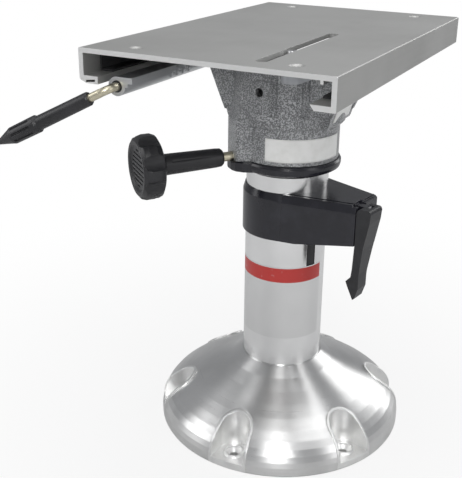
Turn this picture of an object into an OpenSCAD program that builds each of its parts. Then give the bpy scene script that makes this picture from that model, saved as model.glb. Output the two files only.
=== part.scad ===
// Adjustable boat seat pedestal: turned bell base, clamped telescoping post,
// swivel casting with a brake knob, and a fore-and-aft slide under a flat seat plate.
// Origin: centre of the base underside on the post axis. Z up, Y along the slide, X across it.

/* [Base] */
// Outside diameter of the bell base
base_d = 228.6; // [210:0.2:250]
// Height of the neck where the post leaves the bell
base_neck_z = 66; // [58:0.5:74]
// Wall thickness of the bell
base_wall = 4.5; // [3.5:0.1:6]
// Diameter of the bolt circle
bolt_circle_d = 196.85; // [190:0.05:200]
// Number of mounting bolts
bolt_count = 6; // [4:1:6]
// Diameter of a mounting hole
bolt_hole_d = 7.1; // [6:0.1:8.5]
// Height of the floor the bolt head sits on
pocket_floor_z = 8; // [6:0.5:10]
// Radius of a bolt pocket
pocket_r = 14; // [12:0.5:15]
// Height the pocket lip stands above the bell
lip_rise = 1.8; // [1:0.1:3]

/* [Post] */
// Outside diameter of the fixed post
post_d = 73; // [70:0.1:76]
// Wall thickness of the fixed post
post_wall = 3.2; // [2.5:0.1:4]
// Height of the top of the fixed post
post_top_z = 247.4; // [240:0.2:248]
// Direction of the clamping slot
slot_az = -27; // [-60:1:0]
// Width of the clamping slot
slot_w = 9.5; // [6:0.1:12]
// Height of the round lower end of the slot
slot_low_z = 161; // [150:1:180]
// Outside diameter of the sliding inner tube
inner_d = 60.3; // [58:0.1:61]
// Wall thickness of the inner tube
inner_wall = 3; // [2:0.1:4]
// Height that the seat can be raised
lift_travel = 104; // [60:1:104]

/* [Collar] */
// Direction in which the collar arm points
arm_az = -10; // [-40:1:20]
// Height of the lower edge of the collar
collar_low_z = 191; // [180:1:195]
// Height of the collar
collar_h = 42.5; // [36:0.5:44]
// Outside radius of the collar ring
collar_r = 39.2; // [38:0.1:42]
// Distance from the post axis to the end of the arm
arm_len = 81.6; // [74:0.2:86]
// Half width of the arm at its end
arm_half = 20; // [18:0.5:24]
// Height of the hinge of the lever
lever_hinge_z = 227.8; // [224:0.2:229]

/* [Swivel head] */
// Height of the underside of the black thrust ring
ring_low_z = 250.6; // [249.5:0.1:251]
// Radius of the thrust ring
ring_r = 46.6; // [45:0.1:49]
// Radius of the lower barrel of the casting
barrel_r = 44.2; // [42:0.1:46]
// Radius of the upper barrel of the casting
drum_r = 48.4; // [47:0.1:51]
// Height of the step between the two barrels
step_z = 291.5; // [286:0.5:296]
// Height of the top face of the casting
head_top_z = 341.3; // [341:0.1:341.6]
// Direction in which the brake knob points
knob_az = -130; // [-140:1:-120]
// Height of the brake knob axis
knob_z = 263.6; // [260.5:0.1:264.5]
// Radius of the brake knob
knob_r = 27.5; // [24:0.5:32]
// Number of finger scallops round the knob
knob_lobes = 8; // [6:1:12]

/* [Seat slide] */
// Width of the seat plate
plate_w = 201; // [196:0.5:206]
// Length of the seat plate
plate_l = 327; // [300:1:345]
// Offset of the plate centre along the slide
plate_off = 4; // [0:0.5:8]
// Height of the top of the seat plate
plate_top_z = 366; // [365.5:0.1:366.5]
// Thickness of the seat plate
plate_t = 3.6; // [3:0.1:3.8]
// Height of the side walls of the plate
plate_wall_h = 24; // [23.6:0.1:24.2]
// Spacing of the seat bolt holes across the plate
seat_bolt_x = 127; // [120:0.5:140]
// Spacing of the seat bolt holes along the plate
seat_bolt_y = 285.75; // [270:0.25:292]
// Diameter of a seat bolt hole
seat_hole_d = 8.4; // [6:0.1:10]
// Length of the stop slot in the plate
stop_slot_l = 145; // [120:1:150]
// Width of the stop slot in the plate
stop_slot_w = 9; // [8.8:0.1:12]
// Diameter of the lock rod
rod_d = 6.4; // [5:0.1:7]

/* [Hidden] */
$fn = 64;
eps = 0.01;
run = 0.1;
seat = 0.3;
post_r = post_d / 2;
post_bore_r = post_r - post_wall;
inner_r = inner_d / 2;
bolt_r = bolt_circle_d / 2;
rim_r = base_d / 2;
pocket_wall = 2.4;
post_foot_z = 14;
socket_r = post_r + 5;
socket_top_z = base_neck_z - 9.2;
slot_top_z = collar_low_z + collar_h - 6;
key_low_z = slot_low_z + 1.2;
flange_t = 2.9;
guide_low_z = 72;
guide_h = 22;
liner_low_z = guide_low_z + guide_h + 2 + lift_travel;
inner_low_z = guide_low_z - 2;
bush_r = inner_r + run + 3.6;
hub_r = bush_r + run;
ring_top_z = ring_low_z + 9.4;
head_low_z = ring_top_z + 0.2;
boss_r = 54;
boss_half = 10.6;
web_low_z = 324;
inner_top_z = web_low_z - seat;
web_t = 6;
flange_x = 64;
flange_y = 42;
flange_low_z = 336.4;
wing_half = 27;
rib_w = 5;
rail_screw_x = 57;
rail_screw_y = 30;
rail_screw_d = 5;
spindle_d = 10;
shoe_d = 14;
knob_low = 120;
knob_t = 19;
knob_droop = 1.2;
brake_rod_d = 8;
channel_floor_z = plate_top_z - plate_wall_h + 4;
channel_roof_z = plate_top_z - plate_t;
wall_in = plate_w / 2 - 3.7;
liner_t = 1.6;
rail_flange_low_z = channel_floor_z + liner_t + run;
rail_flange_top_z = channel_roof_z - 2.8;
rail_low_z = head_top_z + 4.5;
rail_front_y = -flange_y;
rail_len = 171;
rail_seat_z = 349.8;
rod_x = -74;
rod_z = 338.5;
sleeve_r = 7.2;
lock_front_y = -151;
lock_len = 280;
tooth_w = 5.4;
tooth_step = 9.4;
cam_y = -54.3;
cam_len = 3 * tooth_step + tooth_w;
pin_x = 36;
pin_y = -83;
pin_d = 6;
arm_plate_t = 3.4;
arm_screws = [[27, -38.4], [43, -33]];
arm_screw_d = 4.2;
hinge_s = arm_len + 0.8 + 3.9;
lever_t0 = -arm_half;
lever_w = 20;
lever_pin_d = 4;
clamp_s = 58;
clamp_z = collar_low_z + 20;
clamp_bolt_d = 6.4;
nut_w = 9;
nut_face = 24;
arm_rise = 7;
strap_t = 4.6;
eye_t = -11.5;
eye_w = 7;
clip_y = lock_front_y + lock_len + 0.3;

// Shared placing and shapes.

module at_knob() {
    translate([0, 0, knob_z]) rotate([0, 0, knob_az])
        rotate([0, 90 + knob_droop, 0]) children();
}

module at_arm() {
    rotate([0, 0, arm_az]) children();
}

module ring(r_out, r_in, h) {
    difference() {
        cylinder(r = r_out, h = h);
        translate([0, 0, -1]) cylinder(r = r_in, h = h + 2);
    }
}

module hex(af, h) {
    cylinder(d = af / cos(30), h = h, $fn = 6);
}

module bolts_round() {
    for (i = [0 : bolt_count - 1])
        rotate([0, 0, -90 + i * 360 / bolt_count]) translate([bolt_r, 0, 0]) children();
}

// Base.

// Outer line of the bell from the neck to the rim
function bell_line(up) = [
    [post_r + 1.2, base_neck_z + up], [48, 58.6 + up], [60, 51.9 + up], [72, 46 + up],
    [84, 39.8 + up], [94, 33.9 + up], [102, 28.4 + up], [107.4, 23.8 + up],
    [111, 19 + up], [rim_r - 1.1, 14.2 + up], [rim_r, 9.6 + up]];

module bell_solid(up) {
    rotate_extrude($fn = 180)
        polygon(concat([[0, 0], [0, base_neck_z + up]], bell_line(up),
            [[rim_r, 2.4], [rim_r - 0.8, 0.8], [rim_r - 2.6, 0]]));
}

module bell_hollow() {
    rotate_extrude($fn = 180)
        polygon([[0, -1], [0, socket_top_z], [socket_r, socket_top_z], [48, 58.6 - base_wall - 0.8],
            [60, 51.9 - base_wall - 0.8], [72, 46 - base_wall - 0.8], [84, 39.8 - base_wall - 0.9],
            [94, 33.9 - base_wall - 1], [101, 28.4 - base_wall - 1], [105.4, 18], [107.4, 12],
            [107.4, -1]]);
}

module pocket_plan(r) {
    circle(r = r);
    polygon([[0, -r], [0, r], [24, r + 3], [24, -r - 3]]);
}

module base_bell() {
    color([0.78, 0.79, 0.80]) difference() {
        bell_solid(0);
        bell_hollow();
        translate([0, 0, socket_top_z - 1]) cylinder(r = post_r + 0.02, h = base_neck_z);
        // places of the bolt pockets
        bolts_round() translate([0, 0, -1])
            linear_extrude(base_neck_z + 1) pocket_plan(pocket_r + pocket_wall);
    }
}

// Socket that the post stands in, with the drain under it
module base_socket() {
    color([0.74, 0.75, 0.76]) difference() {
        cylinder(r = socket_r, h = socket_top_z);
        translate([0, 0, post_foot_z]) cylinder(r = post_r + 0.02, h = base_neck_z);
        translate([0, 0, -1]) cylinder(r = post_bore_r - 2, h = base_neck_z);
    }
}

// Webs from the socket to the rim
module base_ribs() {
    color([0.74, 0.75, 0.76]) difference() {
        intersection() {
            bell_hollow();
            for (i = [0 : bolt_count - 1])
                rotate([0, 0, -90 + (i + 0.5) * 360 / bolt_count])
                    translate([post_r, -2, 0]) cube([rim_r, 4, base_neck_z]);
        }
        translate([0, 0, -1]) cylinder(r = socket_r, h = base_neck_z);
    }
}

// Bolt pockets, their walls proud of the bell as a lip
module base_pockets() {
    color([0.78, 0.79, 0.80]) difference() {
        intersection() {
            bell_solid(lip_rise);
            bolts_round() linear_extrude(base_neck_z) pocket_plan(pocket_r + pocket_wall);
        }
        bolts_round() {
            translate([0, 0, pocket_floor_z]) linear_extrude(base_neck_z) pocket_plan(pocket_r);
            translate([0, 0, -1]) cylinder(d = bolt_hole_d, h = pocket_floor_z + 2);
            translate([0, 0, pocket_floor_z - 3])
                cylinder(d1 = bolt_hole_d, d2 = bolt_hole_d + 6.4, h = 3 + eps);
        }
    }
}

// Post and its guides.

module post_tube() {
    color([0.82, 0.83, 0.84]) difference() {
        translate([0, 0, post_foot_z]) ring(post_r, post_bore_r, post_top_z - post_foot_z);
        rotate([0, 0, slot_az]) {
            translate([post_bore_r - 2, -slot_w / 2, slot_low_z + slot_w / 2])
                cube([post_wall + 4, slot_w, slot_top_z - slot_low_z - slot_w / 2]);
            translate([post_bore_r - 2, 0, slot_low_z + slot_w / 2])
                rotate([0, 90, 0]) cylinder(d = slot_w, h = post_wall + 4);
        }
    }
}

module guide_bushing() {
    key_w = slot_w - 0.4;
    color([0.07, 0.07, 0.08]) {
        difference() {
            union() {
                translate([0, 0, liner_low_z])
                    ring(post_bore_r - 0.02, inner_r + run, post_top_z - liner_low_z + eps);
                translate([0, 0, post_top_z]) ring(post_r, inner_r + run, flange_t);
            }
            // split that lets the clamp close the liner
            rotate([0, 0, slot_az + 180]) translate([inner_r - 2, -1, liner_low_z - 1])
                cube([post_wall + 5, 2, post_top_z - liner_low_z + 1]);
        }
        // key that fills the slot of the post
        rotate([0, 0, slot_az]) intersection() {
            translate([0, 0, key_low_z]) ring(post_r - 0.5, post_bore_r + 0.1, slot_top_z - 0.2 - key_low_z);
            union() {
                translate([post_bore_r - 4, -key_w / 2, key_low_z + key_w / 2])
                    cube([post_wall + 6, key_w, slot_top_z - key_low_z]);
                translate([post_bore_r - 4, 0, key_low_z + key_w / 2])
                    rotate([0, 90, 0]) cylinder(d = key_w, h = post_wall + 6);
            }
        }
        rotate([0, 0, slot_az]) translate([post_bore_r - 1, -key_w / 2 + 0.6, liner_low_z + 1])
            cube([2.2, key_w - 1.2, slot_top_z - liner_low_z - 2]);
    }
}

module inner_tube() {
    color([0.70, 0.71, 0.73]) difference() {
        translate([0, 0, inner_low_z]) ring(inner_r, inner_r - inner_wall, inner_top_z - inner_low_z);
        // groove of the retaining clip
        translate([0, 0, guide_low_z + guide_h + 0.2]) ring(inner_r + 1, inner_r - 1, 1.6);
    }
}

module guide_ring() {
    color([0.85, 0.84, 0.80]) difference() {
        translate([0, 0, guide_low_z]) ring(post_bore_r - 0.1, inner_r + 0.02, guide_h);
        // three grease grooves
        for (z = [5, 11, 17])
            translate([0, 0, guide_low_z + z]) ring(post_bore_r + 1, post_bore_r - 0.8, 1.2);
    }
}

module guide_clip() {
    color([0.55, 0.56, 0.58]) difference() {
        translate([0, 0, guide_low_z + guide_h + 0.3]) ring(inner_r + 1.6, inner_r - 0.9, 1.4);
        rotate([0, 0, 70]) translate([inner_r - 4, -5, guide_low_z]) cube([10, 10, 40]);
    }
}

// Clamp collar and its lever.

// Plan of the collar: ring and arm drawn together by the two tangents
module collar_plan() {
    reach = sqrt(arm_len * arm_len + arm_half * arm_half);
    fan = acos(collar_r / reach);
    corner = atan2(arm_half, arm_len);
    touch = [collar_r * cos(corner + fan), collar_r * sin(corner + fan)];
    circle(r = collar_r, $fn = 128);
    polygon([[0, 0], touch, [arm_len - 4, arm_half + 1.06], [arm_len, arm_half - 3],
        [arm_len, -arm_half], [touch[0], -touch[1]]]);
}

// Frame of the front tangent: X runs along the front face, Y inwards from it
module at_front() {
    reach = sqrt(arm_len * arm_len + arm_half * arm_half);
    fan = acos(collar_r / reach);
    corner = atan2(arm_half, arm_len);
    rotate([0, 0, 90 - corner - fan]) translate([0, -collar_r, 0]) children();
}

module clamp_collar() {
    color([0.05, 0.05, 0.06]) translate([0, 0, collar_low_z]) at_arm() difference() {
        intersection() {
            linear_extrude(collar_h) collar_plan();
            // drawn-in top edge round the ring, level top over the arm
            union() {
                cylinder(r = collar_r + 0.5, h = collar_h - 7.5);
                translate([0, 0, collar_h - 7.5])
                    cylinder(r1 = collar_r + 0.5, r2 = post_r + 0.9, h = 7.5);
                translate([18, -60, 0]) cube([80, 120, collar_h - 1.6]);
                translate([18, -60, collar_h - 1.6 - eps]) linear_extrude(1.6)
                    polygon([[0, 20], [arm_len - 22, 36.5], [arm_len - 22, 78], [0, 78]]);
            }
        }
        translate([0, 0, -1]) cylinder(r = post_r + 0.04, h = collar_h + 2);
        // slit between the strap and the block, run out to the end of the arm
        at_front() translate([14, strap_t, -1]) cube([90, 2.2, collar_h + 2]);
        // drawn-in top edge along the front face, underside that rises to the lever
        at_front() translate([6, 0, collar_h - 7.5]) rotate([90, 0, 90]) linear_extrude(90)
            polygon([[-1, -2.6], [2.4, 8.5], [-1, 8.5]]);
        rotate([90, 0, 0]) translate([0, 0, -60]) linear_extrude(120)
            polygon([[22.6, -1], [arm_len + 1, arm_rise], [arm_len + 1, -1]]);
        // cored recesses under the arm
        translate([0, 0, -1]) linear_extrude(collar_h - 8) {
            polygon([[44, -16], [44, 24], [50, 22.5], [50, -16]]);
            polygon([[66, -15], [66, 18], [73, 16], [73, -15]]);
        }
        // recess at the head of the arm round the hinge eye
        translate([arm_len - 5.6, eye_t - 2.1, collar_h - 14])
            cube([8, eye_w + 4.2, 20]);
        // bore and seats of the clamp bolt
        translate([clamp_s, 0, clamp_z - collar_low_z]) rotate([90, 0, 0]) {
            translate([0, 0, -40]) cylinder(d = clamp_bolt_d + run, h = 39.7 + nut_face);
            translate([0, 0, -46]) cylinder(d = 14, h = 24);
        }
        translate([clamp_s - nut_w / 2 - 0.2, -nut_face, clamp_z - collar_low_z - nut_w / 2 - 0.2])
            cube([nut_w + 0.4, 4.4, nut_w + 0.4]);
    }
    // hinge eye inside the fork of the lever
    color([0.05, 0.05, 0.06]) at_arm() difference() {
        union() {
            translate([hinge_s, eye_t, lever_hinge_z]) rotate([-90, 0, 0])
                cylinder(r = 3.7, h = eye_w);
            translate([arm_len - 8, eye_t, lever_hinge_z - 3.7])
                cube([hinge_s - arm_len + 8, eye_w, 7.4]);
        }
        translate([hinge_s, -60, lever_hinge_z]) rotate([-90, 0, 0])
            cylinder(d = lever_pin_d + run, h = 90);
    }
}

module clamp_bolt() {
    color([0.6, 0.61, 0.63]) at_arm() translate([clamp_s, 0, clamp_z]) rotate([90, 0, 0]) {
        translate([0, 0, -23.4]) cylinder(d = clamp_bolt_d, h = 23 + nut_face);
        translate([0, 0, -28.2]) difference() {
            cylinder(d = 10, h = 4.8 + eps);
            translate([0, 0, -1]) hex(5, 4);
        }
    }
}

module clamp_washer() {
    color([0.7, 0.71, 0.72]) at_arm() translate([clamp_s, 22.1, clamp_z]) rotate([-90, 0, 0])
        ring(6.6, clamp_bolt_d / 2 + run / 2, 1.2);
}

module clamp_nut() {
    color([0.6, 0.61, 0.63]) at_arm() translate([clamp_s, run - nut_face, clamp_z]) difference() {
        translate([-nut_w / 2, 0, -nut_w / 2]) cube([nut_w, 3, nut_w]);
        translate([0, -1, 0]) rotate([-90, 0, 0]) cylinder(d = clamp_bolt_d + 0.02, h = 8);
    }
}

module lever_pin() {
    color([0.7, 0.71, 0.72]) at_arm() translate([hinge_s, lever_t0 + 1.2, lever_hinge_z])
        rotate([-90, 0, 0]) cylinder(d = lever_pin_d, h = lever_w - 2.4);
}

// Side line of the lever, measured from its hinge
module lever_side() {
    polygon([[-3.9, 0], [-3.6, 1.5], [-2.75, 2.75], [-1.5, 3.6], [0, 3.9], [7.2, 3.9], [8.6, 3.2],
        [9.4, 1.2], [8.6, -7], [4, -30.6], [1.8, -54], [1.9, -68.3], [-1.2, -78], [-2.6, -79],
        [-8, -68.4], [-10.2, -63.4], [-5.7, -58.4], [-4.9, -51.6], [-3.9, -30]]);
}

module cam_lever() {
    color([0.05, 0.05, 0.06]) at_arm() translate([hinge_s, lever_t0, lever_hinge_z]) difference() {
        intersection() {
            rotate([90, 0, 0]) translate([0, 0, -lever_w]) linear_extrude(lever_w) lever_side();
            // handle narrows towards the hook
            rotate([0, 90, 0]) translate([0, 0, -20]) linear_extrude(40)
                polygon([[-6, -1], [-6, lever_w + 1], [24, lever_w + 1], [34, lever_w - 1],
                    [58, lever_w - 5.4], [82, lever_w - 6], [82, -1]]);
        }
        // fork that takes the eye of the collar
        translate([-6, eye_t - lever_t0 - seat, -4.6]) cube([10.8, eye_w + 2 * seat, 12]);
        // moulding hollow in the face towards the post, with a bridge across it
        translate([-6, 3, -26]) cube([4.6, lever_w - 6, 18]);
        translate([-7, 3, -48]) cube([5.2, lever_w - 7.6, 19]);
        translate([0, 1.2, 0]) rotate([-90, 0, 0]) cylinder(d = lever_pin_d + 0.04, h = lever_w - 2.4);
    }
}

// Head of the inner tube.

module spindle_plug() {
    color([0.72, 0.73, 0.75]) difference() {
        translate([0, 0, inner_top_z - 24]) cylinder(r = inner_r - inner_wall - 0.02, h = 24);
        translate([0, 0, inner_top_z - 30]) cylinder(d = spindle_d, h = 40);
        translate([0, 0, inner_top_z - 25]) ring(20, 9, 17);
    }
}

module spindle_washer() {
    color([0.62, 0.63, 0.65]) translate([0, 0, web_low_z + web_t + 0.1]) ring(17, spindle_d / 2 + 0.2, 2.4);
}

module spindle_bolt() {
    color([0.6, 0.61, 0.63]) {
        difference() {
            translate([0, 0, inner_top_z - 22])
                cylinder(d = spindle_d - 0.02, h = web_low_z + web_t + 2.6 - inner_top_z + 22);
            translate([0, 0, inner_top_z - 23]) cylinder(d = 3, h = 6);
        }
        translate([0, 0, web_low_z + web_t + 2.5]) difference() {
            hex(16, 6.4);
            translate([0, 0, 5.4]) ring(14, 8.6, 2);
        }
    }
}

// Swivel casting and its brake.

// Bore of the brake rod with the wider seat of the shoe
module brake_bore() {
    at_knob() {
        cylinder(d = brake_rod_d + run, h = 70);
        cylinder(d = shoe_d + run, h = hub_r + 8);
    }
}

// Plan of the knob boss, growing out of the lower barrel
module boss_plan() {
    rotate([0, 0, knob_az]) polygon([[0, -24], [39, -16], [boss_r - 2, -boss_half],
        [boss_r, -boss_half + 2], [boss_r, boss_half - 2], [boss_r - 2, boss_half], [39, 16], [0, 24]]);
}

// Plan of the lobe that the thrust ring has under the boss
module lobe_plan(trim) {
    nose = boss_r + 2.3 - trim;
    rotate([0, 0, knob_az]) polygon([[0, -26 + trim], [40, -18 + trim], [50 - trim, -13.6 + trim],
        [nose - 1.8, -9 + trim], [nose, -3], [nose, 3], [nose - 1.8, 9 - trim],
        [50 - trim, 13.6 - trim], [40, 18 - trim], [0, 26 - trim]]);
}

// Front view of a wing, from the drum out to the rail
module wing_face() {
    polygon([[30, 293], [45.4, 293], [46.4, 295], [50.8, 309.5], [61, 333.5],
        [flange_x, flange_low_z + 1], [flange_x, head_top_z], [30, head_top_z]]);
}

module wing_hollow() {
    polygon([[47, 304], [57, 331], [59, head_top_z - 5], [47, head_top_z - 5]]);
}

module swivel_casting() {
    color([0.36, 0.37, 0.38]) difference() {
        union() {
            translate([0, 0, head_low_z]) cylinder(r = barrel_r, h = step_z - head_low_z + 2, $fn = 128);
            rotate_extrude($fn = 128) polygon([[0, step_z - 1], [barrel_r, step_z], [drum_r - 1.6, step_z],
                [drum_r, step_z + 1.8], [drum_r + 1.4, head_top_z], [0, head_top_z]]);
            // knob boss, its head leaning back into the drum
            intersection() {
                translate([0, 0, head_low_z]) linear_extrude(60) boss_plan();
                rotate([0, 0, knob_az]) rotate([90, 0, 0]) translate([0, 0, -40]) linear_extrude(80)
                    polygon([[0, head_low_z], [boss_r + 1, head_low_z], [boss_r + 1, 293],
                        [52, 300], [45, 318], [0, 318]]);
            }
            // wings that carry the rails
            for (s = [0, 1]) mirror([s, 0, 0]) {
                translate([0, wing_half, 0]) rotate([90, 0, 0]) linear_extrude(2 * wing_half) wing_face();
                // ribs along the edges of a wing
                for (y = [rib_w - wing_half - 2.5, wing_half + 2.5])
                    translate([0, y, 0]) rotate([90, 0, 0]) linear_extrude(rib_w)
                        polygon([[36, 300], [48.2, 300], [52.6, 310], [62.4, 333.5],
                            [flange_x, flange_low_z + 1], [flange_x, head_top_z], [36, head_top_z]]);
            }
            // top flange
            translate([-flange_x, -flange_y, flange_low_z])
                cube([2 * flange_x, 2 * flange_y, head_top_z - flange_low_z]);
            // flat faced screw columns at the front and the back
            for (a = [-68, 112]) rotate([0, 0, a]) translate([drum_r - 8, -6.5, step_z + 1])
                cube([9.4, 13, head_top_z - step_z - 2]);
        }
        // flutes beside the screw columns
        for (a = [-83, -52, 97, 128]) rotate([0, 0, a]) {
            translate([drum_r + 2.2, 0, 306]) cylinder(r = 3.8, h = 31);
            translate([drum_r + 2.2, 0, 306]) sphere(r = 3.8);
        }
        // bore of the swivel, open spaces above it
        translate([0, 0, head_low_z - 1]) cylinder(r = hub_r, h = web_low_z - head_low_z + 1);
        translate([0, 0, web_low_z - 1]) cylinder(d = spindle_d + 1, h = 20);
        translate([0, 0, web_low_z + web_t]) cylinder(r = 26, h = 30);
        for (a = [0 : 60 : 300]) rotate([0, 0, a + 30]) translate([0, 0, 298]) linear_extrude(60)
            intersection() {
                difference() {
                    circle(r = drum_r - 4.4);
                    circle(r = hub_r + 3.4);
                }
                polygon([[0, 0], [80, -38], [80, 38]]);
            }
        for (s = [0, 1]) mirror([s, 0, 0])
            for (y = [-2, wing_half - 3]) translate([0, y, 0]) rotate([90, 0, 0])
                linear_extrude(wing_half - 5) wing_hollow();
        // bore of the knob rod, seat of the brake shoe and the cross hole in front
        brake_bore();
        rotate([0, 0, -98]) translate([30, 0, 322]) rotate([0, 90, 0]) cylinder(d = 7.4, h = 40);
        // tapped holes of the rail screws and of the stop arm
        for (x = [-1, 1] * rail_screw_x, y = [-1, 1] * rail_screw_y)
            translate([x, y, head_top_z - 8]) cylinder(d = rail_screw_d + 0.1, h = 12);
        for (p = arm_screws)
            translate([p[0], p[1], head_top_z - 6]) cylinder(d = arm_screw_d + 0.1, h = 10);
    }
}

module thrust_ring() {
    color([0.04, 0.04, 0.05]) difference() {
        union() {
            rotate_extrude($fn = 128) polygon([[30, ring_low_z], [ring_r - 3, ring_low_z],
                [ring_r - 0.8, ring_low_z + 1.4], [ring_r, ring_low_z + 4], [ring_r, ring_top_z - 2.6],
                [ring_r - 1.2, ring_top_z - 0.6], [ring_r - 2.4, ring_top_z], [30, ring_top_z]]);
            translate([0, 0, ring_low_z + 1.2]) linear_extrude(ring_top_z - ring_low_z - 2) lobe_plan(0);
            translate([0, 0, ring_low_z]) linear_extrude(ring_top_z - ring_low_z) lobe_plan(1.4);
        }
        translate([0, 0, ring_low_z - 1]) cylinder(r = inner_r + run, h = 20);
        // seat of the bushing flange
        translate([0, 0, ring_top_z - 2.2]) cylinder(r = bush_r + 2.2, h = 5);
        brake_bore();
    }
}

module swivel_bushing() {
    color([0.86, 0.85, 0.80]) difference() {
        translate([0, 0, ring_top_z - 2]) {
            ring(hub_r - 0.03, inner_r + run, inner_top_z + 2 - ring_top_z);
            ring(bush_r + 2, inner_r + run, 1.9);
        }
        at_knob() cylinder(d = shoe_d + 0.6, h = 70);
    }
}

module brake_shoe() {
    color([0.72, 0.58, 0.30]) intersection() {
        at_knob() cylinder(d = shoe_d, h = 60);
        difference() {
            translate([0, 0, knob_z - 12]) cylinder(r = hub_r + 5, h = 24);
            translate([0, 0, knob_z - 13]) cylinder(r = inner_r + 0.3, h = 26);
        }
    }
}

module knob_rod() {
    color([0.68, 0.69, 0.71]) at_knob() difference() {
        translate([0, 0, hub_r + 5.4]) cylinder(d = brake_rod_d, h = 130 - hub_r - 5.4);
        // worn flats where the sleeve grips the rod
        for (s = [-1, 1]) translate([-5, s * 7.4 - 4, 100]) cube([10, 8, 18]);
    }
}

module knob_sleeve() {
    grip_r = brake_rod_d / 2 + 0.02;
    color([0.05, 0.05, 0.06]) at_knob() difference() {
        rotate_extrude() polygon([[grip_r, 63.4], [6.6, 63.4], [7.8, 65], [8.2, 70],
            [9, knob_low - 5], [10.8, knob_low - 1], [10.8, knob_low], [grip_r, knob_low]]);
        for (a = [0 : 60 : 300]) rotate([0, 0, a]) translate([9.8, 0, 72]) cylinder(r = 1.6, h = 38);
    }
}

module knob_head() {
    face_r = 15.6;
    groove_step = 3.8;
    face = knob_t - 1.8;
    color([0.05, 0.05, 0.06]) at_knob() translate([0, 0, knob_low]) difference() {
        rotate_extrude($fn = 96) polygon([[0, 0], [knob_r - 5, 0], [knob_r - 1.6, 1.8], [knob_r, 5.5],
            [knob_r, knob_t - 6.5], [knob_r - 1.4, knob_t - 2.4], [knob_r - 4.6, knob_t],
            [knob_r - 7.4, knob_t - 0.4], [knob_r - 9, face], [0, face]]);
        // finger scallops
        for (i = [0 : knob_lobes - 1]) rotate([0, 0, (i + 0.5) * 360 / knob_lobes])
            translate([knob_r + 4.6, 0, -1]) cylinder(r = 8.4, h = knob_t + 2);
        // ribbed recess of the face
        for (i = [-4 : 4]) {
            half = sqrt(face_r * face_r - groove_step * groove_step * i * i);
            translate([i * groove_step - 0.7, -half, face - 1]) cube([1.4, 2 * half, 4]);
        }
        translate([0, 0, -1]) cylinder(d = brake_rod_d + 0.04, h = 130 - knob_low + 1.1);
        // cored underside
        translate([0, 0, -1]) ring(knob_r - 8.4, 12, 10);
    }
}

// Rails of the slide.

module rail_face(foot_z) {
    side_x = wall_in - liner_t - run;
    difference() {
        polygon([[51, foot_z], [79, foot_z], [79, rail_flange_low_z], [side_x, rail_flange_low_z],
            [side_x, rail_flange_top_z], [62, rail_flange_top_z], [62, rail_seat_z], [51, rail_seat_z]]);
        // lightening chambers of the extrusion
        translate([65, rail_low_z + 3.4]) square([10.5, 6.6]);
        translate([78, rail_flange_low_z + 3]) square([12, 5.6]);
    }
}

module rail_bar(foot_z) {
    difference() {
        translate([0, rail_front_y + rail_len, 0]) rotate([90, 0, 0])
            linear_extrude(rail_len) rail_face(foot_z);
        for (y = [-1, 1] * rail_screw_y) translate([rail_screw_x, y, head_top_z - 1])
            cylinder(d = rail_screw_d + 0.3, h = 30);
    }
}

module rail_right() {
    color([0.62, 0.63, 0.65]) rail_bar(head_top_z);
}

module rail_left() {
    color([0.62, 0.63, 0.65]) mirror([1, 0, 0]) rail_bar(rail_low_z);
}

// Round channel of the lock rod with its mounting web
module lock_rail() {
    color([0.74, 0.75, 0.76]) difference() {
        translate([0, lock_front_y + lock_len, 0]) rotate([90, 0, 0]) linear_extrude(lock_len) {
            difference() {
                union() {
                    translate([rod_x, rod_z]) circle(r = sleeve_r);
                    translate([rod_x, head_top_z]) square([-50 - rod_x, rail_low_z - head_top_z]);
                    translate([rod_x + 2, rod_z]) square([7.6, 6]);
                }
                translate([rod_x, rod_z]) circle(r = 4.6);
            }
        }
        // web drawn back in front of the casting
        translate([rod_x + 13.5, lock_front_y - 1, rod_z])
            cube([30, rail_front_y - 3 - lock_front_y, 20]);
        // four windows beside the teeth of the cam
        for (i = [0 : 3])
            translate([rod_x + 6, cam_y - tooth_w + 0.4 - i * tooth_step, rod_z - 4])
                cube([9, tooth_w - 0.8, 14]);
        // side opening that lets the cam reach the lip of the plate
        translate([rod_x - 10, cam_y - cam_len - 1, rod_z - 6.5]) cube([10, cam_len + 2, 12]);
        for (y = [-1, 1] * rail_screw_y)
            translate([-rail_screw_x, y, head_top_z - 1]) cylinder(d = rail_screw_d + 0.3, h = 10);
    }
}

module rail_screws() {
    color([0.66, 0.67, 0.69])
        for (x = [-1, 1] * rail_screw_x, y = [-1, 1] * rail_screw_y)
            translate([x, y, 0]) difference() {
                union() {
                    translate([0, 0, head_top_z - 7])
                        cylinder(d = rail_screw_d, h = rail_seat_z - head_top_z + 7 + eps);
                    translate([0, 0, rail_seat_z]) cylinder(d = 9, h = 4.4);
                }
                translate([0, 0, rail_seat_z + 2]) hex(4, 6);
            }
}

// Flat arm on the top flange of the casting, which carries the stop pin
module stop_arm() {
    color([0.58, 0.59, 0.61]) difference() {
        union() {
            translate([0, 0, head_top_z]) linear_extrude(arm_plate_t)
                polygon([[22, -28], [48, -28], [48, -40], [pin_x + 8, pin_y], [pin_x - 8, pin_y], [22, -44]]);
            // boss of the stop pin
            translate([pin_x, pin_y, head_top_z]) cylinder(r = 8, h = 6);
        }
        for (p = arm_screws)
            translate([p[0], p[1], head_top_z - 1]) cylinder(d = arm_screw_d + 0.2, h = 8);
        translate([pin_x, pin_y, head_top_z - 1]) cylinder(d = pin_d + 0.04, h = 10);
        translate([pin_x, -60, head_top_z - 1]) cylinder(d = 9, h = 8);
    }
}

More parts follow.
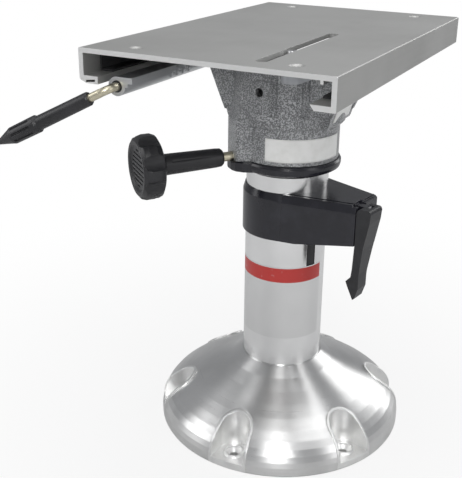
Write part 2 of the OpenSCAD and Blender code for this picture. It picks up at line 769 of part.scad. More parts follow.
module arm_screws() {
    head_z = head_top_z + arm_plate_t;
    color([0.66, 0.67, 0.69]) for (p = arm_screws) translate([p[0], p[1], 0]) difference() {
        union() {
            translate([0, 0, head_top_z - 5]) cylinder(d = arm_screw_d, h = arm_plate_t + 5 + eps);
            translate([0, 0, head_z]) cylinder(d = 7.4, h = 2.6);
        }
        translate([0, 0, head_z + 1.2]) hex(2.5, 4);
    }
}

module stop_pin() {
    foot_z = head_top_z + 6;
    tip_z = plate_top_z - 2.2;
    color([0.75, 0.76, 0.77]) translate([pin_x, pin_y, 0]) difference() {
        union() {
            translate([0, 0, head_top_z - 0.6]) cylinder(d = pin_d, h = 10);
            translate([0, 0, foot_z]) cylinder(d = stop_slot_w - 1, h = tip_z - foot_z + eps);
            translate([0, 0, tip_z]) cylinder(d1 = stop_slot_w - 1, d2 = stop_slot_w - 2.4, h = 1.2);
        }
        translate([0, 0, plate_top_z - 3.6]) hex(3.2, 4);
    }
}

// Slide lock.

module rod_bushings() {
    color([0.05, 0.05, 0.06]) for (y = [lock_front_y + 10, lock_front_y + lock_len])
        translate([rod_x, y, rod_z]) rotate([90, 0, 0]) ring(4.58, rod_d / 2 + run, 10);
}

// Frame of the bend: local X leaves the channel, local Y swings to the grip
module at_bend() {
    translate([rod_x, lock_front_y - 3, rod_z]) rotate([0, -28, 0]) rotate([0, 0, -90])
        children();
}

module lock_rod() {
    color([0.76, 0.77, 0.78]) {
        translate([rod_x, 0, rod_z]) difference() {
            translate([0, lock_front_y - 3, 0]) rotate([-90, 0, 0])
                cylinder(d = rod_d, h = clip_y + 4 - lock_front_y);
            translate([0, cam_y - cam_len / 2, -5]) cylinder(d = 2.5, h = 10);
            // groove of the clip
            translate([0, clip_y, 0]) rotate([-90, 0, 0]) ring(rod_d, rod_d / 2 - 0.6, 1);
        }
        at_bend() {
            // formed elbow, a hair slimmer than the bar it is bent from
            translate([0, -9, 0]) rotate([0, 0, 3]) rotate_extrude(angle = 93)
                translate([9, 0]) circle(d = rod_d - 0.14);
            translate([9 * cos(9), -9 + 9 * sin(9), 0]) rotate([0, 0, 9]) rotate([90, 0, 0])
                cylinder(d = rod_d, h = 46);
        }
    }
}

module rod_clip() {
    color([0.55, 0.56, 0.58]) translate([rod_x, clip_y + 0.05, rod_z]) rotate([-90, 0, 0])
        difference() {
            ring(5, rod_d / 2 - 0.55, 0.9);
            translate([0, -1.6, -1]) cube([8, 3.2, 3]);
        }
}

module lever_grip() {
    color([0.05, 0.05, 0.06]) at_bend() translate([9 * cos(9), -9 + 9 * sin(9), 0]) rotate([0, 0, 9])
        rotate([90, 0, 0]) translate([0, 0, 9]) difference() {
            rotate_extrude() polygon([[0, 0], [4.6, 0], [5.3, 1.2], [5.6, 48], [6.9, 50], [6.7, 74],
                [5.6, 77], [1.4, 90], [0, 90.6]]);
            translate([0, 0, -1]) cylinder(d = rod_d + 0.04, h = 38.2);
            // shallow grip grooves
            for (a = [0 : 45 : 315]) rotate([0, 0, a]) translate([6.5, 0, 54]) cylinder(r = 0.9, h = 18);
        }
}

// Cam that turns with the rod and jams against the lip of the plate
module lock_cam() {
    color([0.45, 0.46, 0.48]) translate([rod_x, cam_y, rod_z]) rotate([90, 0, 0]) difference() {
        linear_extrude(cam_len) difference() {
            polygon([[1.6, 4.1], [-8.6, 4.1], [-10.1, 2.4], [-10.1, 0.6], [-8, -0.6], [-3.4, -2.7],
                [-1.6, -4.1], [1.6, -4.1], [4.1, -1.6], [4.1, 1.6]]);
            circle(r = rod_d / 2 + 0.02);
        }
        // gaps that leave four teeth
        for (i = [0 : 2]) translate([-11, -6, tooth_w + i * tooth_step])
            cube([4, 12, tooth_step - tooth_w]);
        translate([0, 0, cam_len / 2]) rotate([90, 0, 0]) translate([0, 0, -6])
            cylinder(d = 2.5, h = 12);
    }
}

module cam_pin() {
    color([0.7, 0.71, 0.72]) translate([rod_x, cam_y - cam_len / 2, rod_z - 4]) difference() {
        cylinder(d = 2.46, h = 8);
        translate([0, 0, -1]) cylinder(d = 1.2, h = 10);
    }
}

// Return spring wound round the rod behind the cam, half a turn at a time: each half turn
// is a half ring tipped by half the rise, and the next one starts where it ends
module return_spring() {
    half_turns = 11;
    coil_r = 3.86;
    rise = 1.24;
    tip = asin(rise / 2 / coil_r);
    color([0.55, 0.56, 0.58]) translate([rod_x, cam_y + 3, rod_z]) rotate([-90, 0, 0])
        for (i = [0 : half_turns - 1])
            translate([0, 0, (i + 0.5) * rise]) rotate([0, 0, 180 * i]) rotate([0, tip, 0])
                rotate([0, 0, i % 2 == 0 ? 0 : -3]) rotate_extrude(angle = i % 2 == 0 ? 180 : 186)
                    translate([coil_r, 0]) circle(d = i % 2 == 0 ? 1.06 : 1, $fn = 24);
}

// Seat plate.

module plate_face() {
    half = plate_w / 2;
    low = plate_top_z - plate_wall_h;
    bead_low = channel_roof_z - 2.5;
    polygon([[-half + 0.6, plate_top_z], [half - 0.6, plate_top_z], [half, plate_top_z - 0.6],
        [half, low + 0.5], [half - 0.5, low], [85, low], [82, channel_floor_z],
        [wall_in, channel_floor_z], [wall_in, channel_roof_z],
        [90.9, channel_roof_z], [90.9, bead_low], [88.7, bead_low], [88.7, channel_roof_z],
        [-wall_in, channel_roof_z], [-wall_in, channel_floor_z],
        [-84.5, channel_floor_z], [-84.5, low - 1.6], [-half + 6, low - 1.6], [-half + 1, low + 0.4],
        [-half, low + 2], [-half, plate_top_z - 0.6]]);
}

module seat_plate() {
    color([0.66, 0.66, 0.65]) difference() {
        translate([0, plate_off + plate_l / 2, 0]) rotate([90, 0, 0])
            linear_extrude(plate_l) difference() {
                plate_face();
                // folded slot under the left lip
                polygon([[-95, channel_floor_z - 3.4], [-87, channel_floor_z - 2.4],
                    [-87, channel_floor_z - 4], [-95, channel_floor_z - 5]]);
            }
        for (x = [-1, 1], y = [-1, 1])
            translate([x * seat_bolt_x / 2, plate_off + y * seat_bolt_y / 2, 0]) {
                translate([0, 0, channel_roof_z - 1]) cylinder(d = seat_hole_d, h = 8);
                translate([0, 0, plate_top_z - 1.4])
                    cylinder(d1 = seat_hole_d, d2 = seat_hole_d + 3.4, h = 1.4 + eps);
            }
        // stop slot
        for (y = [0, stop_slot_l - stop_slot_w])
            translate([pin_x, pin_y - 57 + stop_slot_w / 2 + y, channel_roof_z - 1])
                cylinder(d = stop_slot_w, h = 8);
        translate([pin_x - stop_slot_w / 2, pin_y - 57 + stop_slot_w / 2, channel_roof_z - 1])
            cube([stop_slot_w, stop_slot_l - stop_slot_w, 8]);
    }
}

// Plastic liner pressed into a side channel of the plate
module liner_face(lip_x) {
    polygon([[lip_x, channel_floor_z], [wall_in, channel_floor_z], [wall_in, channel_roof_z],
        [91.1, channel_roof_z], [91.1, rail_flange_top_z + run],
        [wall_in - liner_t, rail_flange_top_z + run], [wall_in - liner_t, channel_floor_z + liner_t],
        [lip_x, channel_floor_z + liner_t]]);
}

module liner_strip(lip_x) {
    translate([0, plate_off + plate_l / 2 - 20, 0]) rotate([90, 0, 0])
        linear_extrude(plate_l - 41) liner_face(lip_x);
}

module slide_liner_right() {
    color([0.09, 0.09, 0.10]) liner_strip(83);
}

module slide_liner_left() {
    color([0.09, 0.09, 0.10]) mirror([1, 0, 0]) liner_strip(85.4);
}

// Drawing.

base_bell();
base_socket();
base_ribs();
base_pockets();
post_tube();
guide_bushing();
clamp_collar();
clamp_bolt();
clamp_nut();
clamp_washer();
lever_pin();
cam_lever();
inner_tube();
guide_ring();
guide_clip();
spindle_plug();
spindle_washer();
spindle_bolt();
swivel_casting();
thrust_ring();
swivel_bushing();
brake_shoe();
knob_rod();
knob_sleeve();
knob_head();
rail_right();
rail_left();
lock_rail();
rail_screws();
stop_arm();
arm_screws();
stop_pin();
rod_bushings();
lock_rod();
rod_clip();
lever_grip();
lock_cam();
cam_pin();
return_spring();
seat_plate();
slide_liner_right();
slide_liner_left();
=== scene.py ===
"""Looks of the boat seat pedestal: materials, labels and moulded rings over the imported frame."""
import math

import bpy
import numpy as np
from mathutils import Matrix, Vector


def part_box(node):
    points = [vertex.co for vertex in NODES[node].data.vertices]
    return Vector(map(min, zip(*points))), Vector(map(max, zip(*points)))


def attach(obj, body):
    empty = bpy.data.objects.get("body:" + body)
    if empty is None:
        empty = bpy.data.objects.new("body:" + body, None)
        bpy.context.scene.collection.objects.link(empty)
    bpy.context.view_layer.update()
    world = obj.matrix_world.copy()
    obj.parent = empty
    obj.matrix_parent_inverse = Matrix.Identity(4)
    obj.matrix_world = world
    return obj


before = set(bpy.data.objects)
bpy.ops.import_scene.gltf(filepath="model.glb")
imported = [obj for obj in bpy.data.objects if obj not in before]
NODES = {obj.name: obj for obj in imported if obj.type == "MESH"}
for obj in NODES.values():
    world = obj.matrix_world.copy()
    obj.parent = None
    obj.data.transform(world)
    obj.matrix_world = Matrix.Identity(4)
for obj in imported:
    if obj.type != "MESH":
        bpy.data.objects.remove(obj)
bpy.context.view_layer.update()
MM = 0.001


def add_object(name, data):
    """New object in the scene's own collection."""
    item = bpy.data.objects.new(name, data)
    bpy.context.scene.collection.objects.link(item)
    return item


# Camera: lens and place fitted to the photograph's plate, post and base.

PHOTO_W, PHOTO_H = 462, 478
FOCAL_PX = 848.08
CENTRE_PX = (256.37, 218.8)
SENSOR_MM = 36
CAMERA_AT = Vector((0.28318, -0.66176, 0.47410))
CAMERA_AZ, CAMERA_EL, CAMERA_ROLL = 0.44158, 0.36831, 0.02238


def make_camera():
    data = bpy.data.cameras.new("camera")
    camera = add_object("camera", data)
    back = Vector((math.sin(CAMERA_AZ) * math.cos(CAMERA_EL),
                   -math.cos(CAMERA_AZ) * math.cos(CAMERA_EL), math.sin(CAMERA_EL)))
    level = Vector((math.cos(CAMERA_AZ), math.sin(CAMERA_AZ), 0))
    rise = back.cross(level)
    right = math.cos(CAMERA_ROLL) * level + math.sin(CAMERA_ROLL) * rise
    up = -math.sin(CAMERA_ROLL) * level + math.cos(CAMERA_ROLL) * rise
    turn = Matrix((right, up, back)).transposed().to_4x4()
    camera.matrix_world = Matrix.Translation(CAMERA_AT) @ turn
    data.sensor_width = SENSOR_MM
    data.lens = FOCAL_PX * SENSOR_MM / PHOTO_H
    data.shift_x = (PHOTO_W / 2 - CENTRE_PX[0]) / PHOTO_H
    data.shift_y = (CENTRE_PX[1] - PHOTO_H / 2) / PHOTO_H
    data.clip_start, data.clip_end = 0.01, 30
    bpy.context.scene.camera = camera


# Shader helpers.

class Number:
    """One number in a material. Its operators add Math nodes to the material's tree."""

    def __init__(self, tree, socket):
        self.tree, self.socket = tree, socket

    def _math(self, operation, first, second=None):
        values = [first] if second is None else [first, second]
        node = self.tree.add("ShaderNodeMath", {"operation": operation}, dict(enumerate(values)))
        return Number(self.tree, node.outputs[0])

    def __add__(self, other):
        return self._math("ADD", self, other)

    __radd__ = __add__

    def __sub__(self, other):
        return self._math("SUBTRACT", self, other)

    def __rsub__(self, other):
        return self._math("SUBTRACT", other, self)

    def __mul__(self, other):
        return self._math("MULTIPLY", self, other)

    __rmul__ = __mul__

    def __lt__(self, other):
        return self._math("LESS_THAN", self, other)

    def __gt__(self, other):
        return self._math("GREATER_THAN", self, other)

    def root(self):
        return self._math("SQRT", self)

    def largest(self, other):
        return self._math("MAXIMUM", self, other)

    def smallest(self, other):
        return self._math("MINIMUM", self, other)

    def angle_to(self, other):
        return self._math("ARCTAN2", self, other)

    def fold(self, other):
        return self._math("FLOORED_MODULO", self, other)

    def ramp(self, low, high):
        """0 below low, 1 above high, smooth in between."""
        node = self.tree.add("ShaderNodeMapRange", {"interpolation_type": "SMOOTHSTEP"},
                             {0: self, 1: low, 2: high, 3: 0.0, 4: 1.0})
        return Number(self.tree, node.outputs[0])


class Finish:
    """One material: its node tree, and short ways to add nodes to it."""

    def __init__(self, name):
        self.material = bpy.data.materials.new(name)
        self.material.use_nodes = True
        self.nodes = self.material.node_tree.nodes
        self.links = self.material.node_tree.links
        self.nodes.clear()
        self.place = self.add("ShaderNodeTexCoord", {}, {}).outputs["Object"]
        split = self.add("ShaderNodeSeparateXYZ", {}, {0: self.place})
        self.x, self.y, self.z = (Number(self, split.outputs[i]) for i in range(3))

    def add(self, kind, settings, values):
        """A node of that type: settings first, then the values or links of its sockets."""
        node = self.nodes.new(kind)
        for key, value in settings.items():
            setattr(node, key, value)
        for key, value in values.items():
            if isinstance(value, Number):
                value = value.socket
            if isinstance(value, bpy.types.NodeSocket):
                self.links.new(value, node.inputs[key])
            else:
                node.inputs[key].default_value = value
        return node

    def radius(self):
        """Distance from the post axis."""
        return (self.x * self.x + self.y * self.y).root()

    def stretched(self, x=1.0, y=1.0, z=1.0):
        """The place on the piece, drawn out along an axis by a small factor there."""
        return self.add("ShaderNodeVectorMath", {"operation": "MULTIPLY"},
                        {0: self.place, 1: (x, y, z)}).outputs[0]

    def noise(self, scale, detail=3.0, rough=0.55, at=None):
        """Cloudy noise with that many features to the metre."""
        values = {"Vector": at or self.place, "Scale": scale, "Detail": detail, "Roughness": rough}
        return Number(self, self.add("ShaderNodeTexNoise", {}, values).outputs[0])

    def line_noise(self, along, scale, detail=2.0):
        """Noise that varies along one number only, such as a radius."""
        node = self.add("ShaderNodeTexNoise", {"noise_dimensions": "1D"},
                        {"W": along, "Scale": scale, "Detail": detail})
        return Number(self, node.outputs[0])

    def dimples(self, scale, wander):
        """Rounded cells, their places pushed about by noise of the scale wander."""
        push = self.add("ShaderNodeTexNoise", {}, {"Vector": self.place, "Scale": wander}).outputs[1]
        moved = self.add("ShaderNodeVectorMath", {"operation": "ADD"}, {0: self.place, 1: push})
        node = self.add("ShaderNodeTexVoronoi", {"feature": "SMOOTH_F1"},
                        {"Vector": moved.outputs[0], "Scale": scale})
        return Number(self, node.outputs["Distance"])

    def tint(self, share, first, second):
        """Colour between first and second."""
        node = self.add("ShaderNodeMix", {"data_type": "RGBA"}, {0: share})
        for index, value in ((6, first), (7, second)):
            if isinstance(value, bpy.types.NodeSocket):
                self.links.new(value, node.inputs[index])
            else:
                node.inputs[index].default_value = (*value, 1)
        return node.outputs[2]

    def bump(self, height, depth, under=None):
        """Normal pushed about by a height, depth metres deep."""
        values = {"Height": height, "Distance": depth, "Strength": 1.0}
        if under is not None:
            values["Normal"] = under
        return self.add("ShaderNodeBump", {}, values).outputs[0]

    def soft_edges(self, radius):
        """Normal that rounds the edges by a radius in metres."""
        return self.add("ShaderNodeBevel", {"samples": 6}, {"Radius": radius}).outputs[0]

    def done(self, colour, rough, metal, normal, **fixed):
        """Ends the tree in one surface shader. fixed are numbers that are the same all over."""
        if not isinstance(colour, bpy.types.NodeSocket):
            colour = (*colour, 1)
        values = {"Base Color": colour, "Roughness": rough, "Metallic": metal, "Normal": normal}
        for key, value in fixed.items():
            values[key.replace("_", " ")] = value
        shader = self.add("ShaderNodeBsdfPrincipled", {}, values)
        self.add("ShaderNodeOutputMaterial", {}, {0: shader.outputs[0]})
        return self.material


# Sizes that the finishes share with the pieces, in metres.

BOLT_R = 98.425 * MM                       # bolt circle of the base
POCKET_RIM = (13.6 * MM, 15.2 * MM)        # from a bolt hole to the edge of its pocket
SAW_CUT = 0.15 * MM                        # depth of the bare ends of the plate
DECAL_Z = (94, 164.5)                      # heights on the post, in millimetres
BAND_Z = (150, 163.5)


# Finishes.

def turned_bell():
    """Spun aluminium: lathe lines round the axis, satin inside the bolt pockets."""
    f = Finish("turned_bell")
    r = f.radius()
    turn = f.y.angle_to(f.x)
    across = (turn.fold(math.pi / 3) - math.pi / 6) * r
    inward = (r - BOLT_R).smallest(0.0)
    pocket = 1 - (across * across + inward * inward).root().ramp(*POCKET_RIM)
    path = r - f.z
    lines = f.line_noise(path, 2600, 3)
    rings = f.line_noise(path, 240)
    haze = f.noise(22, 4)
    drag = f.noise(60, at=f.stretched(z=0.3))
    spots = f.noise(420, 2).ramp(0.66, 0.78)
    cast = f.noise(900, 4)
    colour = f.tint(haze.ramp(0.35, 0.7), (0.70, 0.70, 0.695), (0.80, 0.80, 0.795))
    colour = f.tint(spots * 0.25, colour, (0.55, 0.55, 0.55))
    rough = 0.2 + lines * 0.10 + rings * 0.06 + drag * 0.06 + pocket * 0.12
    height = (1 - pocket) * (lines * 0.5 + rings * 0.6) + pocket * cast
    normal = f.bump(height, 0.05 * MM, f.soft_edges(0.7 * MM))
    return f.done(colour, rough, 1.0, normal, Anisotropic=0.8, Anisotropic_Rotation=0.25)


def cast_pocket():
    """Cast aluminium of the bolt pockets: bright, blasted, with rounded lips."""
    f = Finish("cast_pocket")
    grain = f.noise(1500, 4)
    haze = f.noise(60)
    colour = f.tint(haze.ramp(0.3, 0.7), (0.80, 0.80, 0.795), (0.90, 0.90, 0.89))
    rough = 0.30 + grain * 0.14 + haze * 0.05
    return f.done(colour, rough, 1.0, f.bump(grain, 0.08 * MM, f.soft_edges(1.5 * MM)))


def white_sticker():
    """Printed vinyl sticker left blank: satin white, yellowed a little in patches."""
    f = Finish("white_sticker")
    patch = f.noise(90)
    fibre = f.noise(1900, 2)
    colour = f.tint(patch.ramp(0.35, 0.75), (0.86, 0.86, 0.845), (0.78, 0.78, 0.76))
    return f.done(colour, 0.36 + patch * 0.12, 0.0, f.bump(fibre, 0.015 * MM))


def striped_decal():
    """Clear decal on the post: silver ground with one plain red band."""
    f = Finish("striped_decal")
    band = (f.z > BAND_Z[0] * MM) * (f.z < BAND_Z[1] * MM)
    worn = f.noise(240).ramp(0.62, 0.75)
    haze = f.noise(40)
    silver = f.tint(haze, (0.70, 0.70, 0.70), (0.80, 0.80, 0.80))
    ink = band * (1 - worn * 0.25)
    colour = f.tint(ink, silver, (0.47, 0.035, 0.03))
    normal = f.bump(f.noise(300, 2), 0.004 * MM)
    return f.done(colour, 0.2 + haze * 0.1 + ink * 0.12, 1 - ink, normal)


def polished_tube():
    """Drawn and polished tube with faint rings and handling haze."""
    f = Finish("polished_tube")
    lines = f.line_noise(f.z, 3200)
    drawn = f.noise(130, at=f.stretched(z=0.04))
    haze = f.noise(26, 4)
    colour = f.tint(haze.ramp(0.3, 0.7), (0.80, 0.80, 0.80), (0.88, 0.88, 0.88))
    rough = 0.13 + lines * 0.06 + drawn * 0.06 + haze * 0.05
    normal = f.bump(drawn + lines * 0.4, 0.02 * MM, f.soft_edges(0.3 * MM))
    return f.done(colour, rough, 1.0, normal, Anisotropic=0.5, Anisotropic_Rotation=0.25)


def hammertone():
    """Hammertone enamel: grey with pale flecks that are partly painted glints, in dimples about a
    millimetre wide.
    """
    f = Finish("hammertone")
    cells = f.dimples(760, 300.0)
    flecks = f.noise(820, 2, 0.5)
    fine = f.noise(1700, 2)
    broad = f.noise(30)
    # Pale flecks painted into the colour: partly the enamel's own flecks, partly painted glints.
    # Roughness is lower there.
    flecks_and_painted_glints = (flecks * 0.7 + fine * 0.3).ramp(0.48, 0.60)
    colour = f.tint(broad.ramp(0.3, 0.7), (0.15, 0.155, 0.16), (0.20, 0.205, 0.21))
    # Paints the pale flecks and painted glints over the grey.
    colour = f.tint(flecks_and_painted_glints, colour, (0.64, 0.65, 0.66))
    rough = 0.28 + broad * 0.1 - flecks_and_painted_glints * 0.08
    normal = f.bump(flecks * 0.8 + cells * 0.5, 0.35 * MM, f.soft_edges(1.2 * MM))
    return f.done(colour, rough, 0.35, normal, Coat_Weight=0.35, Coat_Roughness=0.12)


def moulded_black(name, tone, base_rough, grain):
    """Moulded black plastic with a fine grain in millimetres, dust in patches, wipe marks and rounded
    edges.
    """
    f = Finish(name)
    fine = f.noise(2600)
    patch = f.noise(45, 4)
    wipe = f.noise(150, at=f.stretched(z=0.2))
    colour = f.tint(patch.ramp(0.45, 0.75) * 0.5, tone, tuple(v * 1.9 + 0.004 for v in tone))
    rough = base_rough + patch * 0.12 + wipe * 0.08
    return f.done(colour, rough, 0.0, f.bump(fine, grain * MM, f.soft_edges(0.8 * MM)))


def blasted_plate():
    """Blasted extrusion: fine drawn lines along the plate, with bare saw-cut ends."""
    f = Finish("blasted_plate")
    front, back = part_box("seat_plate")[0].y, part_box("seat_plate")[1].y
    cut = (f.y < front + SAW_CUT).largest(f.y > back - SAW_CUT)
    drawn = f.noise(420, 4, at=f.stretched(y=0.02))
    grain = f.noise(2400)
    broad = f.noise(9, 4)
    saw = f.line_noise(f.x + f.z * 0.4, 1900)
    colour = f.tint(broad.ramp(0.3, 0.7), (0.41, 0.41, 0.40), (0.47, 0.47, 0.46))
    colour = f.tint(drawn.ramp(0.35, 0.75) * 0.15, colour, (0.50, 0.50, 0.49))
    colour = f.tint(cut, colour, (0.86, 0.86, 0.85))
    rough = 0.46 + grain * 0.1 - cut * 0.1
    normal = f.bump(grain * (1 - cut) + drawn * 0.5 + saw * cut, 0.03 * MM, f.soft_edges(0.35 * MM))
    return f.done(colour, rough, 0.82, normal)


def mill_rail():
    """Mill-finish extrusion with die lines along Y."""
    f = Finish("mill_rail")
    lines = f.noise(500, at=f.stretched(y=0.01))
    haze = f.noise(18)
    colour = f.tint(haze, (0.60, 0.61, 0.62), (0.72, 0.73, 0.74))
    normal = f.bump(lines, 0.03 * MM, f.soft_edges(0.3 * MM))
    return f.done(colour, 0.28 + lines * 0.14, 1.0, normal)


def steel(name, tone, base_rough):
    """Plated or drawn steel with fine scratches and a faint haze."""
    f = Finish(name)
    scratch = f.noise(1800, at=f.stretched(x=0.2))
    haze = f.noise(120)
    colour = f.tint(haze, tone, tuple(min(1.0, v * 1.15) for v in tone))
    rough = base_rough + scratch * 0.12 + haze * 0.06
    return f.done(colour, rough, 1.0, f.bump(scratch, 0.015 * MM, f.soft_edges(0.25 * MM)))


def plain_plastic(name, tone, base_rough):
    """Unpainted bearing plastic with a fine grain."""
    f = Finish(name)
    fine = f.noise(1600)
    patch = f.noise(70)
    colour = f.tint(patch * 0.6, tone, tuple(v * 0.8 for v in tone))
    normal = f.bump(fine, 0.03 * MM, f.soft_edges(0.3 * MM))
    return f.done(colour, base_rough + fine * 0.15, 0.0, normal)


FINISHES = {
    "pocket": cast_pocket(),
    "sticker": white_sticker(),
    "decal": striped_decal(),
    "base_bell": turned_bell(),
    "tube": polished_tube(),
    "casting": hammertone(),
    "collar": moulded_black("collar_black", (0.014, 0.014, 0.019), 0.12, 0.015),
    "satin": moulded_black("satin_black", (0.014, 0.014, 0.016), 0.3, 0.04),
    "liner": moulded_black("liner_black", (0.02, 0.02, 0.022), 0.45, 0.03),
    "plate": blasted_plate(),
    "rail": mill_rail(),
    "zinc": steel("zinc_steel", (0.62, 0.63, 0.66), 0.3),
    "bright": steel("bright_steel", (0.70, 0.70, 0.71), 0.18),
    "chromate": steel("chromate_steel", (0.60, 0.56, 0.43), 0.28),
    "spring": steel("spring_steel", (0.42, 0.43, 0.45), 0.3),
    "natural": plain_plastic("bearing_plastic", (0.80, 0.78, 0.72), 0.4),
    "bronze": steel("brake_bronze", (0.62, 0.47, 0.22), 0.42),
}

# The CAD nodes that each finish goes on.

WEARS = {
    "base_bell": ["base_bell"],
    "pocket": ["base_pockets", "base_socket", "base_ribs"],
    "tube": ["post_tube", "inner_tube", "spindle_plug"],
    "casting": ["swivel_casting"],
    "collar": ["clamp_collar", "thrust_ring"],
    "satin": ["guide_bushing", "cam_lever", "knob_sleeve", "knob_head", "lever_grip",
              "rod_bushings"],
    "liner": ["slide_liner_right", "slide_liner_left"],
    "plate": ["seat_plate"],
    "rail": ["rail_right", "rail_left", "lock_rail"],
    "zinc": ["clamp_bolt", "clamp_nut", "clamp_washer", "spindle_washer", "spindle_bolt",
             "rail_screws", "arm_screws", "lock_cam"],
    "bright": ["lever_pin", "stop_pin", "cam_pin"],
    "chromate": ["knob_rod", "lock_rod"],
    "spring": ["stop_arm", "guide_clip", "rod_clip", "return_spring"],
    "natural": ["guide_ring", "swivel_bushing"],
    "bronze": ["brake_shoe"],
}


def wear(piece, finish):
    """Gives every material slot of a piece the same finish."""
    if not piece.data.materials:
        piece.data.materials.append(FINISHES[finish])
    for slot in piece.material_slots:
        slot.material = FINISHES[finish]


def dress_nodes():
    for finish, nodes in WEARS.items():
        for node in nodes:
            wear(NODES[node], finish)


# Labels, and the rings round the bolt holes. Their sizes are in millimetres.

STICKER_THICK = 0.15 * MM
WING_FACE = (46.45, 295)                   # x and z where the wing's sloped face starts
WING_SLOPE = (4.4, 14.5)                   # what it moves out in x, over a rise in z
RING_PROFILE = np.array([                  # radius and height
    [6.8, 7.9], [6.85, 9.0], [7.2, 9.5], [8.0, 9.6], [8.9, 9.2], [9.6, 8.4], [9.9, 7.9]])
RING_AZIMUTHS = range(-90, 270, 60)


def grid_mesh(name, rows, closed=False):
    """Mesh from an array of points, rows by columns, joined as quads, round each row if closed."""
    nu, nv = rows.shape[:2]
    index = np.arange(nu * nv).reshape(nu, nv)
    if closed:
        index = np.hstack([index, index[:, :1]])
    quads = np.stack([index[:-1, :-1], index[1:, :-1], index[1:, 1:], index[:-1, 1:]], axis=-1)
    mesh = bpy.data.meshes.new(name)
    mesh.from_pydata(rows.reshape(-1, 3).tolist(), [], quads.reshape(-1, 4).tolist())
    mesh.polygons.foreach_set("use_smooth", np.ones(len(mesh.polygons), bool))
    mesh.update()
    return add_object(name, mesh)


def dress_piece(piece, body, finish, thick=None):
    """Finish, body and slot of a new piece, with a thickness in metres where it is a sheet."""
    if thick:
        skin = piece.modifiers.new("thick", "SOLIDIFY")
        skin.thickness, skin.offset = thick, 1.0
    wear(piece, finish)
    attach(piece, body)


def wrapped_sheet(name, radius, azimuths, heights):
    """Sheet round the post axis, over a span of azimuths in degrees and a span of heights."""
    a, z = np.meshgrid(np.radians(np.linspace(*azimuths, 60)), np.linspace(*heights, 12),
                       indexing="ij")
    return grid_mesh(name, np.stack([radius * np.cos(a), radius * np.sin(a), z], -1) * MM)


def make_labels():
    decal = wrapped_sheet("post_decal", 36.56, (-150, -6), DECAL_Z)
    dress_piece(decal, "pedestal", "decal")
    sticker = wrapped_sheet("barrel_sticker", 44.22, (-93, 2), (263.5, 283.5))
    dress_piece(sticker, "head", "sticker", STICKER_THICK)
    y, z = np.meshgrid(np.linspace(-18, 20, 12), np.linspace(296, 307, 8), indexing="ij")
    x = WING_FACE[0] + (z - WING_FACE[1]) * WING_SLOPE[0] / WING_SLOPE[1]
    sticker = grid_mesh("wing_sticker", np.stack([x, y, z], -1) * MM)
    dress_piece(sticker, "head", "sticker", STICKER_THICK)


def make_pocket_bosses():
    """Raised ring round each bolt hole: a profile of radius and height turned about the hole."""
    turn = np.linspace(0, 2 * np.pi, 48, endpoint=False)
    r, t = np.meshgrid(RING_PROFILE[:, 0], turn, indexing="ij")
    z = np.repeat(RING_PROFILE[:, 1:], len(turn), axis=1)
    ring = np.stack([r * np.cos(t), r * np.sin(t), z], -1)[::-1] * MM
    for i, azimuth in enumerate(RING_AZIMUTHS):
        a = math.radians(azimuth)
        rows = ring + np.array([BOLT_R * math.cos(a), BOLT_R * math.sin(a), 0])
        boss = grid_mesh(f"pocket_boss_{i}", rows, closed=True)
        dress_piece(boss, "pedestal", "pocket")


# Stage and light.

FLOOR_X, FLOOR_Y = (-6.0, 6.0), (-3.0, 5.0)
FLOOR_Z = -0.0002
HEART = Vector((0, 0, 0.2))

# Area lights: place, width, height or None where square, and power.
LIGHTS = {
    "key_front": ((0.75, -1.75, 1.45), 0.5, 1.3, 20),
    "fill_left": ((-1.5, -0.9, 0.9), 0.9, 1.2, 8),
    "fill_right": ((1.7, -0.3, 0.8), 0.5, 1.3, 5),
    "overhead": ((0.1, 0.1, 1.9), 1.6, None, 15),
    "back_strip": ((0.6, 1.5, 0.9), 0.6, 1.2, 6),
}


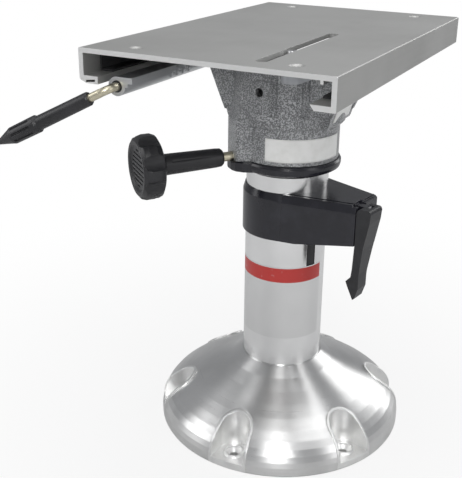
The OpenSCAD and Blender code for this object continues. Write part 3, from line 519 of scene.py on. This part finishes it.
def make_floor():
    """Pale floor that the camera sees fade to white away from the object."""
    x, y = np.meshgrid(FLOOR_X, np.linspace(*FLOOR_Y, 40), indexing="ij")
    piece = grid_mesh("floor", np.stack([x, y, np.full_like(x, FLOOR_Z)], -1))
    f = Finish("floor_white")
    shader = f.add("ShaderNodeBsdfPrincipled", {},
                   {"Base Color": (0.6, 0.6, 0.6, 1), "Roughness": 0.9})
    glow = f.add("ShaderNodeEmission", {}, {"Color": (1, 1, 1, 1), "Strength": 1.0})
    seen = Number(f, f.add("ShaderNodeLightPath", {}, {}).outputs["Is Camera Ray"])
    white = (f.radius().ramp(0.1, 0.6) * 0.15 + 0.85) * seen
    mixed = f.add("ShaderNodeMixShader", {}, {0: white, 1: shader.outputs[0], 2: glow.outputs[0]})
    f.add("ShaderNodeOutputMaterial", {}, {0: mixed.outputs[0]})
    piece.data.materials.append(f.material)


def make_world():
    """Soft grey room light, which the camera sees as plain white."""
    world = bpy.data.worlds.new("studio")
    bpy.context.scene.world = world
    world.use_nodes = True
    nodes, links = world.node_tree.nodes, world.node_tree.links
    nodes.clear()
    room, white = nodes.new("ShaderNodeBackground"), nodes.new("ShaderNodeBackground")
    for background, tone, strength in ((room, (0.62, 0.63, 0.65, 1), 0.5), (white, (1, 1, 1, 1), 1.0)):
        background.inputs[0].default_value = tone
        background.inputs[1].default_value = strength
    path = nodes.new("ShaderNodeLightPath")
    blend = nodes.new("ShaderNodeMixShader")
    out = nodes.new("ShaderNodeOutputWorld")
    links.new(path.outputs["Is Camera Ray"], blend.inputs[0])
    links.new(room.outputs[0], blend.inputs[1])
    links.new(white.outputs[0], blend.inputs[2])
    links.new(blend.outputs[0], out.inputs[0])


def make_lights():
    for name, (at, wide, tall, power) in LIGHTS.items():
        data = bpy.data.lights.new(name, "AREA")
        data.energy, data.size = power, wide
        if tall:
            data.shape, data.size_y = "RECTANGLE", tall
        light = add_object(name, data)
        light.location = at
        light.rotation_mode = "QUATERNION"
        light.rotation_quaternion = (HEART - Vector(at)).to_track_quat("-Z", "Y")


make_camera()
bpy.context.scene.view_settings.view_transform = "Standard"
dress_nodes()
make_labels()
make_pocket_bosses()
make_floor()
make_world()
make_lights()
